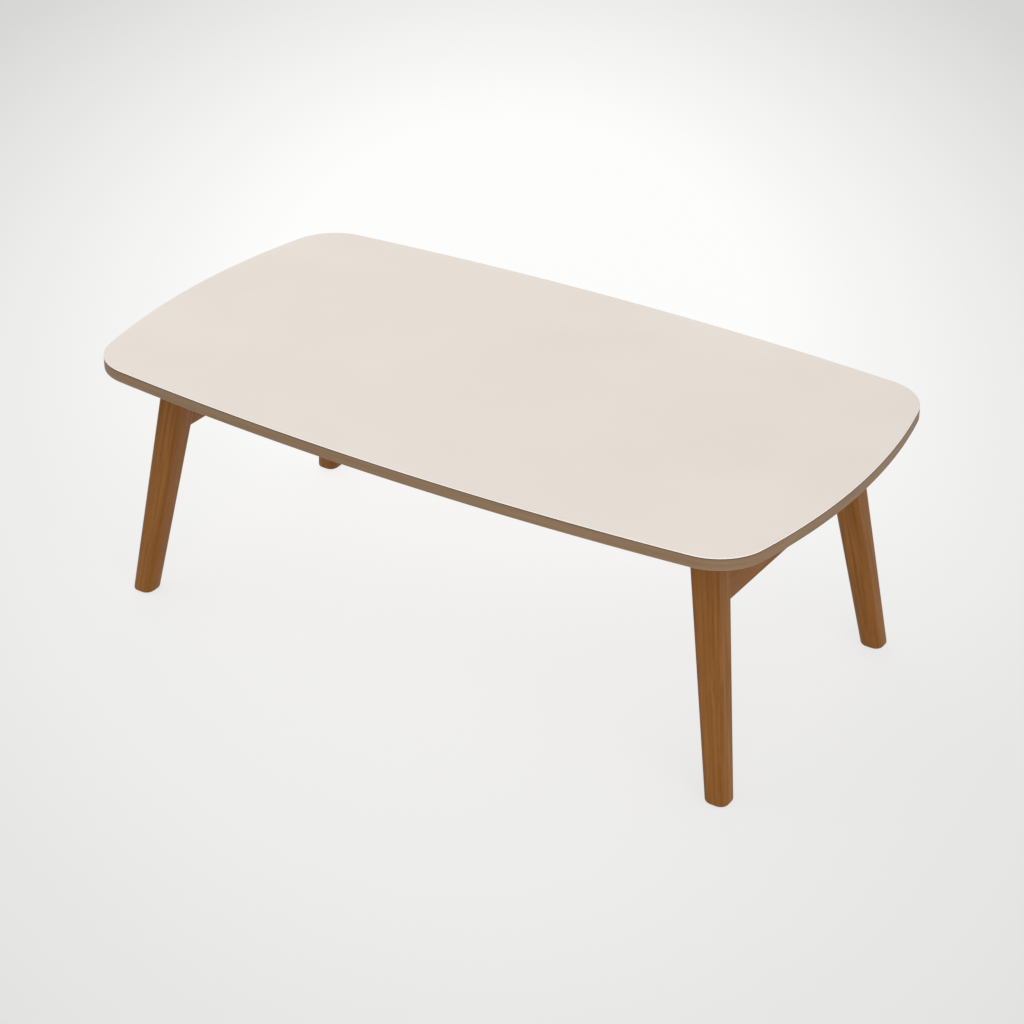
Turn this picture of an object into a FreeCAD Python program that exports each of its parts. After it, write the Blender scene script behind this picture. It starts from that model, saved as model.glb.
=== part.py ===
import FreeCAD, Part
import math
import os

# A low table with two leg frames that fold flat under the top.
# Millimetres. The origin is on the floor under the middle of the top,
# +X runs along the long side to the right, +Y to the back, +Z up.

Vector = FreeCAD.Vector

# Tabletop: a rounded rectangle whose four sides bow gently outwards
top_length = 900.0
top_width = 500.0
table_height = 320.0
top_thickness = 15.0
long_side_radius = 3750.0
short_side_radius = 830.0
corner_radius = 64.0
laminate_thickness = 1.0
laminate_edge = 0.5
band_thickness = 1.5
band_chamfer = 0.8

# Legs: square with rounded corners, tapered, leaning out both ways
leg_top_end_inset = 101.5
leg_foot_end_inset = 52.0
leg_top_side_inset = 103.0
leg_foot_side_inset = 63.0
leg_top_size = 35.0
leg_foot_size = 28.0
leg_edge_radius = 8.0
foot_edge = 2.0
seat_gap = 0.3
pad_thickness = 1.0
pad_edge_margin = 1.5
pad_corner = 3.0

# End rail between the two legs of a frame, with a tenon into each leg
rail_thickness = 18.0
rail_drop = 91.0
rail_edge_radius = 1.5
tenon_thickness = 8.0
tenon_top_drop = 16.0
tenon_end_drop = 76.0
tenon_length = 15.0
mortise_gap = 0.1
mortise_end_gap = 1.0

# Folding bracket, pressed from steel sheet
bracket_metal = 2.0
bend_radius = 1.0
hinge_inset = 35.0
ear_radius = 9.6
cam_height = 8.0
cheek_margin = 1.4
cheek_rail_gap = 4.0
cheek_side_gap = 0.25
cheek_run = 26.5
neck_length = 36.5
neck_taper = 8.0
plate_length = 50.0
plate_width = 44.0
plate_corner_radius = 5.0
bead_length = 26.0
bead_width = 8.0
bead_depth = 1.2

# Arm of the bracket, screwed to the rail
arm_width = 20.0
arm_top_drop = 6.0
arm_shoulder_drop = 40.0
arm_end_drop = 80.0
arm_flange_height = 10.0
arm_nose = 6.0
arm_screw_drops = (40.0, 70.0)

# Leaf spring that snaps onto the flats of the arm's ears
spring_thickness = 1.0
spring_room = 1.4
spring_gap = 0.1
spring_side_gap = 0.25
spring_foot_length = 10.0
spring_slope_length = 10.0
spring_tip_rise = 0.8

# Rivets and screws
pivot_radius = 3.0
pivot_clearance = 0.05
pivot_head_radius = 5.0
pivot_head_height = 1.8
leaf_rivet_radius = 1.5
leaf_rivet_head_radius = 2.8
leaf_rivet_head_height = 1.0
screw_radius = 2.0
screw_head_radius = 4.0
screw_head_height = 2.0
screw_hole_clearance = 0.1
screw_bore_extra = 1.0
screw_edge_distance = 9.0
board_screw_cover = 4.0
rail_screw_cover = 6.0

# Every cut runs this far past the face it opens
overrun = 5.0

# Small fasteners and their holes are drawn with this many flats
fastener_flats = 6

# Heights and slopes that follow from the sizes above
underside = table_height - top_thickness
band_top = table_height - laminate_thickness
seat_height = underside - seat_gap
leg_top_x = top_length / 2 - leg_top_end_inset
leg_foot_x = top_length / 2 - leg_foot_end_inset
leg_top_y = top_width / 2 - leg_top_side_inset
leg_foot_y = top_width / 2 - leg_foot_side_inset
lean = math.atan((leg_foot_x - leg_top_x) / underside)

# Places of the bracket's pivot: across the frame's plane, down it, and in the table
rail_face = rail_thickness / 2
cheek_radius = ear_radius + cheek_margin
pivot_depth = bracket_metal + spring_thickness + spring_room + ear_radius
pivot_across = rail_face + cheek_rail_gap + cheek_radius
pivot_down = (pivot_depth - pivot_across * math.sin(lean)) / math.cos(lean)
pivot_x = leg_top_x - pivot_across * math.cos(lean) + pivot_down * math.sin(lean)
pivot_z = underside - pivot_depth
hinge_y = leg_top_y - leg_top_size / 2 - hinge_inset
clevis_inside = arm_width + 2 * cheek_side_gap
clevis_width = clevis_inside + 2 * bracket_metal
plate_near_x = pivot_x - neck_length
plate_far_x = plate_near_x - plate_length
web_underside = underside - bracket_metal
bend_outside = bend_radius + bracket_metal
board_screw_length = bracket_metal + top_thickness - board_screw_cover
rail_screw_length = bracket_metal + rail_thickness - rail_screw_cover
spring_width = clevis_inside - 2 * (bend_radius + spring_side_gap)
spring_rivet_x = plate_near_x

sides = ("left", "right")
ends = ("front", "back")


def flipped(point, along_x, along_y):
    """The same point on another quarter of the table."""
    return Vector(point.x * along_x, point.y * along_y, point.z)


def arc(start, middle, end):
    return Part.Arc(start, middle, end).toShape()


def line(start, end):
    return Part.LineSegment(start, end).toShape()


def polygon_wire(points):
    return Part.makePolygon(list(points) + [points[0]])


def prism(wire, direction):
    return Part.Face(wire).extrude(direction)


def placed(shape, side, end):
    """Copy of a right-hand back piece on the named corner of the table."""
    copy = shape.copy()
    if side == "left":
        copy = copy.mirror(Vector(0, 0, 0), Vector(1, 0, 0))
    if end == "front":
        copy = copy.mirror(Vector(0, 0, 0), Vector(0, 1, 0))
    return copy


def group(shapes):
    return Part.makeCompound(list(shapes))


def edges_at_height(shape, height):
    """Edges that lie in one horizontal plane."""
    found = []
    for edge in shape.Edges:
        box = edge.BoundBox
        if abs(box.ZMin - height) < seat_gap / 10 and abs(box.ZMax - height) < seat_gap / 10:
            found.append(edge)
    return found


def top_corner_centre(long_centre, short_centre):
    """Centre of the corner arc, which touches a long and a short side from inside."""
    from_long = long_side_radius - corner_radius
    from_short = short_side_radius - corner_radius
    between = short_centre - long_centre
    along = (from_long ** 2 - from_short ** 2 + between.Length ** 2) / (2 * between.Length)
    across = math.sqrt(from_long ** 2 - along ** 2)
    ahead = Vector(between).normalize()
    outwards = Vector(ahead.y, -ahead.x, 0)
    return long_centre + ahead * along + outwards * across


def top_outline(inset, height):
    """Closed outline of the top at one height, drawn inside its edge by the inset."""
    long_centre = Vector(0, top_width / 2 - long_side_radius, 0)
    short_centre = Vector(top_length / 2 - short_side_radius, 0, 0)
    centre = top_corner_centre(long_centre, short_centre)
    long_ray = (centre - long_centre).normalize()
    short_ray = (centre - short_centre).normalize()
    corner_ray = (long_ray + short_ray).normalize()
    level = Vector(0, 0, height)
    long_end = long_centre + long_ray * (long_side_radius - inset) + level
    short_end = short_centre + short_ray * (short_side_radius - inset) + level
    corner_mid = centre + corner_ray * (corner_radius - inset) + level
    long_mid = Vector(0, top_width / 2 - inset, height)
    short_mid = Vector(top_length / 2 - inset, 0, height)
    long_half_ray = (long_ray + Vector(0, 1, 0)).normalize()
    short_half_ray = (short_ray + Vector(1, 0, 0)).normalize()
    long_half = long_centre + long_half_ray * (long_side_radius - inset) + level
    short_half = short_centre + short_half_ray * (short_side_radius - inset) + level
    quarter = (
        (long_mid, long_half, long_end),
        (long_end, corner_mid, short_end),
        (short_end, short_half, short_mid),
    )
    edges = []
    for along_x in (1, -1):
        for along_y in (1, -1):
            for points in quarter:
                edges.append(arc(*[flipped(point, along_x, along_y) for point in points]))
    return Part.Wire(Part.__sortEdges__(edges))


def top_slab(inset, low, high):
    return prism(top_outline(inset, low), Vector(0, 0, high - low))


def rod(radius, start, direction, length):
    """Straight prism with a few flats, for small fasteners and their holes."""
    points = []
    for number in range(fastener_flats):
        angle = 2 * math.pi * number / fastener_flats
        points.append(Vector(radius * math.cos(angle), radius * math.sin(angle), 0))
    shape = prism(polygon_wire(points), Vector(0, 0, length))
    turn = FreeCAD.Rotation(Vector(0, 0, 1), direction)
    shape.Placement = FreeCAD.Placement(start, turn)
    return shape


def headed_pin(radius, length, head_radius, head_height, seat, direction):
    """Screw or rivet whose head bears on its seat."""
    head = rod(head_radius, seat - direction * head_height, direction, head_height)
    return head.fuse(rod(radius, seat, direction, length))


def plate_screw_places():
    """Centres of the screws in one bracket's plate, right-hand back."""
    places = []
    reach = plate_width / 2 - screw_edge_distance
    for x in (plate_far_x + screw_edge_distance, plate_near_x - screw_edge_distance):
        for y in (hinge_y - reach, hinge_y + reach):
            places.append(Vector(x, y, web_underside))
    return places


def all_corners(shapes):
    """The right-hand back shapes repeated on all four corners."""
    return [placed(shape, side, end) for side in sides for end in ends for shape in shapes]


def screw_bores():
    """Pilot holes of the plate screws in the board."""
    length = board_screw_length + screw_bore_extra
    radius = screw_radius + screw_hole_clearance
    return all_corners([rod(radius, place, Vector(0, 0, 1), length) for place in plate_screw_places()])


def make_core_board():
    return top_slab(band_thickness, underside, band_top).cut(screw_bores())


def make_top_laminate():
    sheet = top_slab(0, band_top, table_height)
    return sheet.makeChamfer(laminate_edge, edges_at_height(sheet, table_height))


def make_edge_band():
    """Strip round the edge of the board, eased along its lower edge."""
    outside = top_slab(0, underside, band_top)
    outside = outside.makeChamfer(band_chamfer, edges_at_height(outside, underside))
    return outside.cut(top_slab(band_thickness, underside - overrun, band_top + overrun))


def leg_point(height):
    """Centre of the right-hand back leg at one height."""
    share = (underside - height) / underside
    x = leg_top_x + (leg_foot_x - leg_top_x) * share
    y = leg_top_y + (leg_foot_y - leg_top_y) * share
    return Vector(x, y, height)


def leg_size(height):
    share = (underside - height) / underside
    return leg_top_size + (leg_foot_size - leg_top_size) * share


def leg_inner_y(height):
    """Distance of the leg's inner side face from the table's middle line."""
    return leg_point(height).y - leg_size(height) / 2


def long_edges(shape, length):
    """Edges that climb at least this far."""
    return [edge for edge in shape.Edges if edge.BoundBox.ZLength > length]


def leg_wedge(along, across, reach):
    """Tapering board with the leg's outline seen along one level direction."""
    points = []
    for height, side in ((seat_height, -1), (seat_height, 1), (pad_thickness, 1), (pad_thickness, -1)):
        centre = leg_point(height)
        offset = along * centre.dot(along) + along * (side * leg_size(height) / 2)
        points.append(offset + Vector(0, 0, height))
    return prism(polygon_wire(points), across * reach)


def tenon(gap, end_gap):
    """Tenon on the back end of the rail, or the mortise for it."""
    side_gap = tenon_thickness / 2 + gap
    points = (
        frame_point(side_gap, tenon_top_drop - gap),
        frame_point(side_gap, tenon_end_drop + gap),
        frame_point(-side_gap, tenon_end_drop + gap),
        frame_point(-side_gap, tenon_top_drop - gap),
    )
    board = leaning(prism(polygon_wire(points), Vector(0, top_width, 0)))
    return board.common(between_legs(tenon_length + end_gap))


def between_legs(reach):
    """Wedge between the inner faces of a frame's two legs, drawn past them by the reach."""
    low = underside - rail_drop - rail_thickness
    points = (
        Vector(0, -leg_inner_y(low) - reach, low),
        Vector(0, leg_inner_y(low) + reach, low),
        Vector(0, leg_inner_y(underside) + reach, underside),
        Vector(0, -leg_inner_y(underside) - reach, underside),
    )
    return prism(polygon_wire(points), Vector(top_length / 2, 0, 0))


def make_leg():
    """Tapered leg, its long edges rounded and its foot eased all round."""
    side_view = leg_wedge(Vector(1, 0, 0), Vector(0, 1, 0), top_width)
    end_view = leg_wedge(Vector(0, 1, 0), Vector(1, 0, 0), top_length)
    leg = side_view.common(end_view).Solids[0]
    leg = leg.makeFillet(leg_edge_radius, long_edges(leg, leg_top_size))
    leg = leg.makeChamfer(foot_edge, edges_at_height(leg, pad_thickness))
    return leg.cut(tenon(mortise_gap, mortise_end_gap))


def make_foot_pad():
    """Felt pad under the foot, square with clipped corners."""
    half = leg_foot_size / 2 - foot_edge - pad_edge_margin
    clipped = half - pad_corner
    foot = leg_point(0)
    points = []
    for along_x, along_y in ((1, 1), (-1, 1), (-1, -1), (1, -1)):
        corner = [Vector(half * along_x, clipped * along_y, 0), Vector(clipped * along_x, half * along_y, 0)]
        if along_x * along_y < 0:
            corner.reverse()
        points.extend(foot + point for point in corner)
    return prism(polygon_wire(points), Vector(0, 0, pad_thickness))


def leaning(shape):
    """Turns a piece drawn square to the frame's plane into the leaning frame.

    It is drawn from the leg's middle at the underside, -X across the plane
    to the inside and -Z down the leg.
    """
    turned = shape.copy()
    turned.rotate(Vector(0, 0, 0), Vector(0, 1, 0), -math.degrees(lean))
    turned.translate(Vector(leg_top_x, 0, underside))
    return turned


def frame_point(across, down, y=0):
    return Vector(-across, y, -down)


def rail_top_down(across):
    """How far down the frame's plane the level top of the rail lies."""
    return (seat_gap - across * math.sin(lean)) / math.cos(lean)


def rail_screw_places():
    return [frame_point(rail_face + bracket_metal, down, hinge_y) for down in arm_screw_drops]


def make_rail():
    """Board between the legs, its top level with the underside and its ends cut to the legs."""
    points = (
        frame_point(rail_face, rail_top_down(rail_face), -top_width / 2),
        frame_point(rail_face, rail_drop, -top_width / 2),
        frame_point(-rail_face, rail_drop, -top_width / 2),
        frame_point(-rail_face, rail_top_down(-rail_face), -top_width / 2),
    )
    board = prism(polygon_wire(points), Vector(0, top_width, 0))
    board = board.makeFillet(rail_edge_radius, edges_at_height(board, -rail_drop))
    rail = leaning(board).common(between_legs(0))
    back_tenon = tenon(0, 0)
    rail = rail.fuse([back_tenon, placed(back_tenon, "right", "front")]).removeSplitter()
    length = rail_screw_length + screw_bore_extra
    radius = screw_radius + screw_hole_clearance
    bores = [leaning(rod(radius, place, Vector(1, 0, 0), length)) for place in rail_screw_places()]
    return rail.cut(bores + [placed(bore, "right", "front") for bore in bores])


def tangent_point(outside, centre, radius, turn):
    """Where a line from a point outside touches a circle in the XZ plane."""
    towards = outside - centre
    reach = math.acos(radius / towards.Length)
    angle = math.atan2(towards.z, towards.x) + turn * reach
    return centre + Vector(radius * math.cos(angle), 0, radius * math.sin(angle))


def clevis_profile():
    """Side view of the clevis: level web, cheeks rounded about the pivot."""
    pivot = Vector(pivot_x, 0, pivot_z)
    front_x = pivot_x + cheek_radius
    cheek_start = Vector(pivot_x - cheek_run, 0, web_underside)
    touch = tangent_point(cheek_start, pivot, cheek_radius, 1)
    top_front = Vector(front_x, 0, underside)
    top_back = Vector(plate_near_x, 0, underside)
    low_back = Vector(plate_near_x, 0, web_underside)
    front = Vector(front_x, 0, pivot_z)
    bottom = Vector(pivot_x, 0, pivot_z - cheek_radius)
    return Part.Wire([
        line(top_back, top_front),
        line(top_front, front),
        arc(front, bottom, touch),
        line(touch, cheek_start),
        line(cheek_start, low_back),
        line(low_back, top_back),
    ])


def sheet_channel(length, width, height):
    """Folded channel along +Z with its web at X = 0 and its flanges towards -X."""
    outside = Part.makeBox(height, width, length, Vector(-height, -width / 2, 0))
    inner_width = width - 2 * bracket_metal
    hollow = Part.makeBox(height, inner_width, length + 2 * overrun,
                          Vector(-height - bracket_metal, -inner_width / 2, -overrun))
    outside = outside.makeFillet(bend_outside, upright_edges(outside, 0))
    hollow = hollow.makeFillet(bend_radius, upright_edges(hollow, -bracket_metal))
    return outside.cut(hollow)


def upright_edges(shape, x):
    """Edges that stand along Z at one X."""
    found = []
    for edge in shape.Edges:
        box = edge.BoundBox
        level = box.ZMax - box.ZMin < overrun / 10
        if not level and abs(box.XMax - x) < seat_gap / 10 and abs(box.XMin - x) < seat_gap / 10:
            found.append(edge)
    return found


def clipped_bar(length, width, centre, depth):
    """Bar along X with its corners clipped, standing down from its centre by the depth."""
    clip = width / 3
    points = []
    for along_x, along_y in ((1, 1), (-1, 1), (-1, -1), (1, -1)):
        corner = [
            Vector(length / 2 * along_x, (width / 2 - clip) * along_y, 0),
            Vector((length / 2 - clip) * along_x, width / 2 * along_y, 0),
        ]
        if along_x * along_y < 0:
            corner.reverse()
        points.extend(centre + point for point in corner)
    return prism(polygon_wire(points), Vector(0, 0, -depth))


def leaf_rivet_place():
    """Centre of the rivet that holds one spring, on the spring's lower face."""
    return Vector(spring_rivet_x, hinge_y, web_underside - spring_thickness)


def leaf_rivet_hole():
    start = leaf_rivet_place() - Vector(0, 0, overrun)
    return rod(leaf_rivet_radius, start, Vector(0, 0, 1), 2 * overrun)


def make_hinge_base():
    """Pressed bracket under the top: screwed plate, neck and clevis with the pivot holes."""
    neck_end_x = plate_near_x + neck_taper
    plate_points = (
        Vector(plate_far_x, -plate_width / 2, web_underside),
        Vector(plate_near_x, -plate_width / 2, web_underside),
        Vector(neck_end_x, -clevis_width / 2, web_underside),
        Vector(neck_end_x, clevis_width / 2, web_underside),
        Vector(plate_near_x, plate_width / 2, web_underside),
        Vector(plate_far_x, plate_width / 2, web_underside),
    )
    plate = prism(polygon_wire(plate_points), Vector(0, 0, bracket_metal))
    plate = plate.makeFillet(plate_corner_radius, upright_edges(plate, plate_far_x))

    length = pivot_x + cheek_radius - plate_near_x
    clevis = sheet_channel(length, clevis_width, pivot_depth + cheek_radius)
    clevis.rotate(Vector(0, 0, 0), Vector(0, 1, 0), -90)
    clevis.translate(Vector(pivot_x + cheek_radius, 0, underside))
    side_view = prism(clevis_profile(), Vector(0, clevis_width, 0))
    side_view.translate(Vector(0, -clevis_width / 2, 0))
    clevis = clevis.common(side_view)

    bead_centre = Vector((plate_near_x + plate_far_x) / 2, 0, web_underside)
    bead = clipped_bar(bead_length, bead_width, bead_centre, bead_depth)
    groove_top = bead_centre + Vector(0, 0, bracket_metal + overrun)
    groove = clipped_bar(bead_length - bracket_metal, bead_width - bracket_metal, groove_top,
                         bead_depth + overrun)

    base = plate.fuse([clevis, bead]).removeSplitter().cut(groove)
    base.translate(Vector(0, hinge_y, 0))
    holes = []
    for place in plate_screw_places():
        start = place - Vector(0, 0, overrun)
        holes.append(rod(screw_radius + screw_hole_clearance, start, Vector(0, 0, 1), 2 * overrun))
    holes.append(leaf_rivet_hole())
    holes.append(pivot_hole())
    return base.cut(holes)


def pivot_hole():
    """Running bore for the pivot through the clevis and the arm."""
    start = Vector(pivot_x, hinge_y - clevis_width / 2 - overrun, pivot_z)
    length = clevis_width + 2 * overrun
    return Part.makeCylinder(pivot_radius + pivot_clearance, length, start, Vector(0, 1, 0))


def arm_profile():
    """Side view of the arm, with a round ear about the pivot."""
    web_back = rail_face
    flange = rail_face + arm_flange_height
    ear = frame_point(pivot_across, pivot_down)
    top = frame_point(web_back, arm_top_drop)
    shoulder = frame_point(flange, arm_shoulder_drop)
    nose_start = frame_point(flange, arm_end_drop - arm_nose)
    nose_end = frame_point(flange - arm_nose, arm_end_drop)
    low = frame_point(web_back, arm_end_drop)
    upper_touch = tangent_point(top, ear, ear_radius, 1)
    lower_touch = tangent_point(shoulder, ear, ear_radius, -1)
    tip = ear + Vector(-ear_radius, 0, 0)
    return Part.Wire([
        line(low, top),
        line(top, upper_touch),
        arc(upper_touch, tip, lower_touch),
        line(lower_touch, shoulder),
        line(shoulder, nose_start),
        line(nose_start, nose_end),
        line(nose_end, low),
    ])


def make_hinge_arm():
    """Channel on the rail's inner face whose ears carry two flats, one for each end of the fold."""
    side_view = prism(arm_profile(), Vector(0, arm_width, 0))
    side_view.translate(Vector(0, -arm_width / 2, 0))
    height = pivot_across - rail_face + ear_radius
    arm = sheet_channel(arm_end_drop, arm_width, height)
    arm.translate(frame_point(rail_face, arm_end_drop))
    arm = arm.common(side_view)

    block = 2 * ear_radius
    folded_flat = Part.makeBox(block, block + arm_width, 2 * block,
                               Vector(-pivot_across - cam_height - block, -(block + arm_width) / 2,
                                      -pivot_down - block))
    arm = arm.cut(folded_flat)
    arm.translate(Vector(0, hinge_y, 0))
    holes = []
    for place in rail_screw_places():
        start = place - Vector(overrun, 0, 0)
        holes.append(rod(screw_radius + screw_hole_clearance, start, Vector(1, 0, 0), 2 * overrun))
    arm = leaning(arm.cut(holes))

    standing_flat = Part.makeBox(2 * block, block + arm_width, block,
                                 Vector(pivot_x - block, hinge_y - (block + arm_width) / 2,
                                        pivot_z + cam_height))
    return arm.cut([standing_flat, pivot_hole()])


def make_pivot_rivet():
    """Rivet through both cheeks, with a head at each end."""
    across = Vector(0, 1, 0)
    front = Vector(pivot_x, hinge_y - clevis_width / 2, pivot_z)
    back = front + across * clevis_width
    shank = Part.makeCylinder(pivot_radius, clevis_width, front, across)
    front_head = rod(pivot_head_radius, front - across * pivot_head_height, across, pivot_head_height)
    back_head = rod(pivot_head_radius, back, across, pivot_head_height)
    return shank.fuse([front_head, back_head])


def make_leaf_spring():
    """Spring leaf: riveted foot, a set down to the cam, a level run and a lifted tip."""
    foot_start = spring_rivet_x - spring_foot_length / 2
    foot_end = foot_start + spring_foot_length
    run_start = foot_end + spring_slope_length
    run_end = pivot_x + cam_height
    tip = pivot_x + ear_radius
    foot = web_underside - spring_thickness
    run = pivot_z + cam_height + spring_gap
    lower = (
        Vector(foot_start, 0, foot),
        Vector(foot_end, 0, foot),
        Vector(run_start, 0, run),
        Vector(run_end, 0, run),
        Vector(tip, 0, run + spring_tip_rise),
    )
    upper = [point + Vector(0, 0, spring_thickness) for point in reversed(lower)]
    leaf = prism(polygon_wire(list(lower) + upper), Vector(0, spring_width, 0))
    leaf.translate(Vector(0, hinge_y - spring_width / 2, 0))
    return leaf.cut(leaf_rivet_hole())


def make_leaf_rivet():
    """Rivet of one spring, headed under the leaf and flush with the bracket's top."""
    length = spring_thickness + bracket_metal
    return headed_pin(leaf_rivet_radius, length, leaf_rivet_head_radius, leaf_rivet_head_height,
                      leaf_rivet_place(), Vector(0, 0, 1))


def make_board_screws():
    """Screws of one bracket's plate."""
    return [headed_pin(screw_radius, board_screw_length, screw_head_radius, screw_head_height,
                       place, Vector(0, 0, 1)) for place in plate_screw_places()]


def make_rail_screws():
    """Screws of one bracket's arm, driven outwards into the rail."""
    return [leaning(headed_pin(screw_radius, rail_screw_length, screw_head_radius, screw_head_height,
                               place, Vector(1, 0, 0))) for place in rail_screw_places()]


def make_all():
    """Every node by name."""
    nodes = {
        "top_laminate": make_top_laminate(),
        "core_board": make_core_board(),
        "edge_band": make_edge_band(),
        "board_screws": group(all_corners(make_board_screws())),
        "leaf_rivets": group(all_corners([make_leaf_rivet()])),
        "pivot_rivets": group(all_corners([make_pivot_rivet()])),
    }
    rail = make_rail()
    rail_screws = make_rail_screws()
    for side in sides:
        nodes[side + "_rail"] = placed(rail, side, "back")
        nodes[side + "_arm_screws"] = group(placed(piece, side, end) for end in ends for piece in rail_screws)
    corner_pieces = {
        "leg": make_leg(),
        "foot_pad": make_foot_pad(),
        "hinge_base": make_hinge_base(),
        "hinge_arm": make_hinge_arm(),
        "leaf_spring": make_leaf_spring(),
    }
    for name, shape in corner_pieces.items():
        for side in sides:
            for end in ends:
                nodes[side + "_" + end + "_" + name] = placed(shape, side, end)
    return nodes


os.makedirs("parts", exist_ok=True)
for name, shape in make_all().items():
    shape.exportStep("parts/" + name + ".step")
print("pivot at x", round(pivot_x, 3), "z", round(pivot_z, 3), "hinge y", round(hinge_y, 3))
print("fold angle", round(90 + math.degrees(lean), 3))
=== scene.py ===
import math

import bpy
from mathutils import Matrix, Vector


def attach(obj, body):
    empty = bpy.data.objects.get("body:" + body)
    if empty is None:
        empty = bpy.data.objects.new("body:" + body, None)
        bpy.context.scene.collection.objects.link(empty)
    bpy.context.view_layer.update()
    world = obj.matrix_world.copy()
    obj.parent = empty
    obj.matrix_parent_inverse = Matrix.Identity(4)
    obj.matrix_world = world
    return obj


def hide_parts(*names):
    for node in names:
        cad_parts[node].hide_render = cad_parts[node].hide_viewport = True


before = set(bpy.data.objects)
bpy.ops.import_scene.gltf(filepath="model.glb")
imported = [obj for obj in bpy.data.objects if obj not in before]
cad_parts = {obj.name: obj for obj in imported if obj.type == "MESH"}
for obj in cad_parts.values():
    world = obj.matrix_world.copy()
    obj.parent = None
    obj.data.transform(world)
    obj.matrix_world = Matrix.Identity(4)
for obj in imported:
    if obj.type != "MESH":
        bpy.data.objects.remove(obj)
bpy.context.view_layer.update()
scene = bpy.context.scene

# Top, in metres: a rounded rectangle whose four sides bow gently outwards
top_length = 0.900
top_width = 0.500
table_height = 0.320
top_thickness = 0.015
long_side_radius = 3.750
short_side_radius = 0.830
corner_radius = 0.064
laminate_thickness = 0.0010
laminate_round = 0.0007
laminate_lip = 0.004
band_thickness = 0.0015
band_lower_round = 0.0009
band_upper_round = 0.0004
short_side_steps = 36
corner_arc_steps = 28
long_side_steps = 48
rim_round_steps = 5
laminate_ring_shares = (0.985, 0.95, 0.85, 0.7, 0.5, 0.3, 0.12)

# Legs and their felt pads
leg_top_end_inset = 0.1015
leg_foot_end_inset = 0.052
leg_top_side_inset = 0.103
leg_foot_side_inset = 0.063
leg_top_size = 0.035
leg_foot_size = 0.028
leg_top_edge_radius = 0.0065
leg_foot_edge_radius = 0.0105
foot_round = 0.0028
leg_top_round = 0.0005
seat_gap = 0.0003
leg_spans = 44
leg_corner_steps = 8
leg_side_steps = 4
foot_round_steps = 7
leg_top_round_steps = 3
pad_height = 0.001
pad_half = 0.0105
pad_corner = 0.007
pad_round = 0.0004
pad_levels = 6
pad_corner_steps = 6
pad_side_steps = 6

# Rails
rail_thickness = 0.018
rail_drop = 0.091
rail_lower_round = 0.0018
rail_upper_round = 0.0005
rail_seam = 0.0006
rail_seam_share = 0.985
rail_spans = 48
rail_round_steps = 5
rail_longest_step = 0.010
rail_board_start = 7
# Mark on a rail's end rings for painted shade in the seam there
seam_shade_mark = 2

# Brackets and fasteners
bracket_metal = 0.002
spring_thickness = 0.001
ear_radius = 0.0096
cheek_margin = 0.0014
cheek_rail_gap = 0.004
spring_room = 0.0014
hinge_inset = 0.035
clevis_width = 0.0245
neck_length = 0.0365
plate_length = 0.050
plate_width = 0.044
screw_edge_distance = 0.009
arm_screw_drops = (0.040, 0.070)
screw_radius = 0.002
screw_head_radius = 0.004
screw_head_height = 0.002
screw_point_share = 1 / 3
board_screw_length = 0.013
rail_screw_length = 0.014
recess_reach = 0.0023
recess_half_width = 0.00052
recess_depth = 0.0012
recess_floor_share = 0.72
recess_arm_steps = 5
dome_steps = 10
dome_round_share = 0.55
dome_edge_power = 8
pivot_radius = 0.003
pivot_head_radius = 0.005
pivot_head_height = 0.0018
leaf_rivet_radius = 0.0015
leaf_rivet_head_radius = 0.0028
leaf_rivet_head_height = 0.001
edge_softening = 0.00025
softening_segments = 2
softened_angle = math.radians(38)
weld_reach = 0.00001
smooth_angle = math.radians(40)

# Floor, with a painted pool of light: a white oval patch behind the table, whose radii lie across and along
# the camera's view
floor_reach = 30
patch_middle = Vector((-0.49, 0.77, 0))
patch_turn = math.radians(33)
patch_radii = (0.80, 1.60)
patch_fade_shares = (0.46, 1.45)
painted_pool_colour = (1.0, 1.0, 0.995)
painted_dim_floor_colour = (0.69, 0.69, 0.68)
floor_glow_share = 0.80

# World, even light with a grey backdrop
ambient_colour = (1, 1, 1)
ambient_strength = 0.58
backdrop_colour = (0.65, 0.65, 0.64)

# Camera, fitted to the outline of the top and the feet in the photograph
camera_azimuth = math.radians(-56.9609)
camera_elevation = math.radians(29.65064)
camera_distance = 2.95656
camera_target = Vector((0.02470, -0.02157, 0.16))
camera_roll = math.radians(0.19)
camera_lens = 89.905
camera_sensor_width = 36

# Heights and places that follow from the sizes above
underside = table_height - top_thickness
band_top = table_height - laminate_thickness
seat_height = underside - seat_gap
leg_top = Vector((top_length / 2 - leg_top_end_inset, top_width / 2 - leg_top_side_inset, underside))
leg_foot = Vector((top_length / 2 - leg_foot_end_inset, top_width / 2 - leg_foot_side_inset, 0))
lean = math.atan((leg_foot.x - leg_top.x) / underside)
hinge_y = leg_top.y - leg_top_size / 2 - hinge_inset
rail_face = rail_thickness / 2
pivot_depth = bracket_metal + spring_thickness + spring_room + ear_radius
pivot_across = rail_face + cheek_rail_gap + ear_radius + cheek_margin
pivot_down = (pivot_depth - pivot_across * math.sin(lean)) / math.cos(lean)
plate_near_x = leg_top.x - pivot_across * math.cos(lean) + pivot_down * math.sin(lean) - neck_length
plate_far_x = plate_near_x - plate_length

right_and_left = {"right": 1, "left": -1}
back_and_front = {"back": 1, "front": -1}
upwards = Vector((0, 0, 1))


# Meshes

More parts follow.
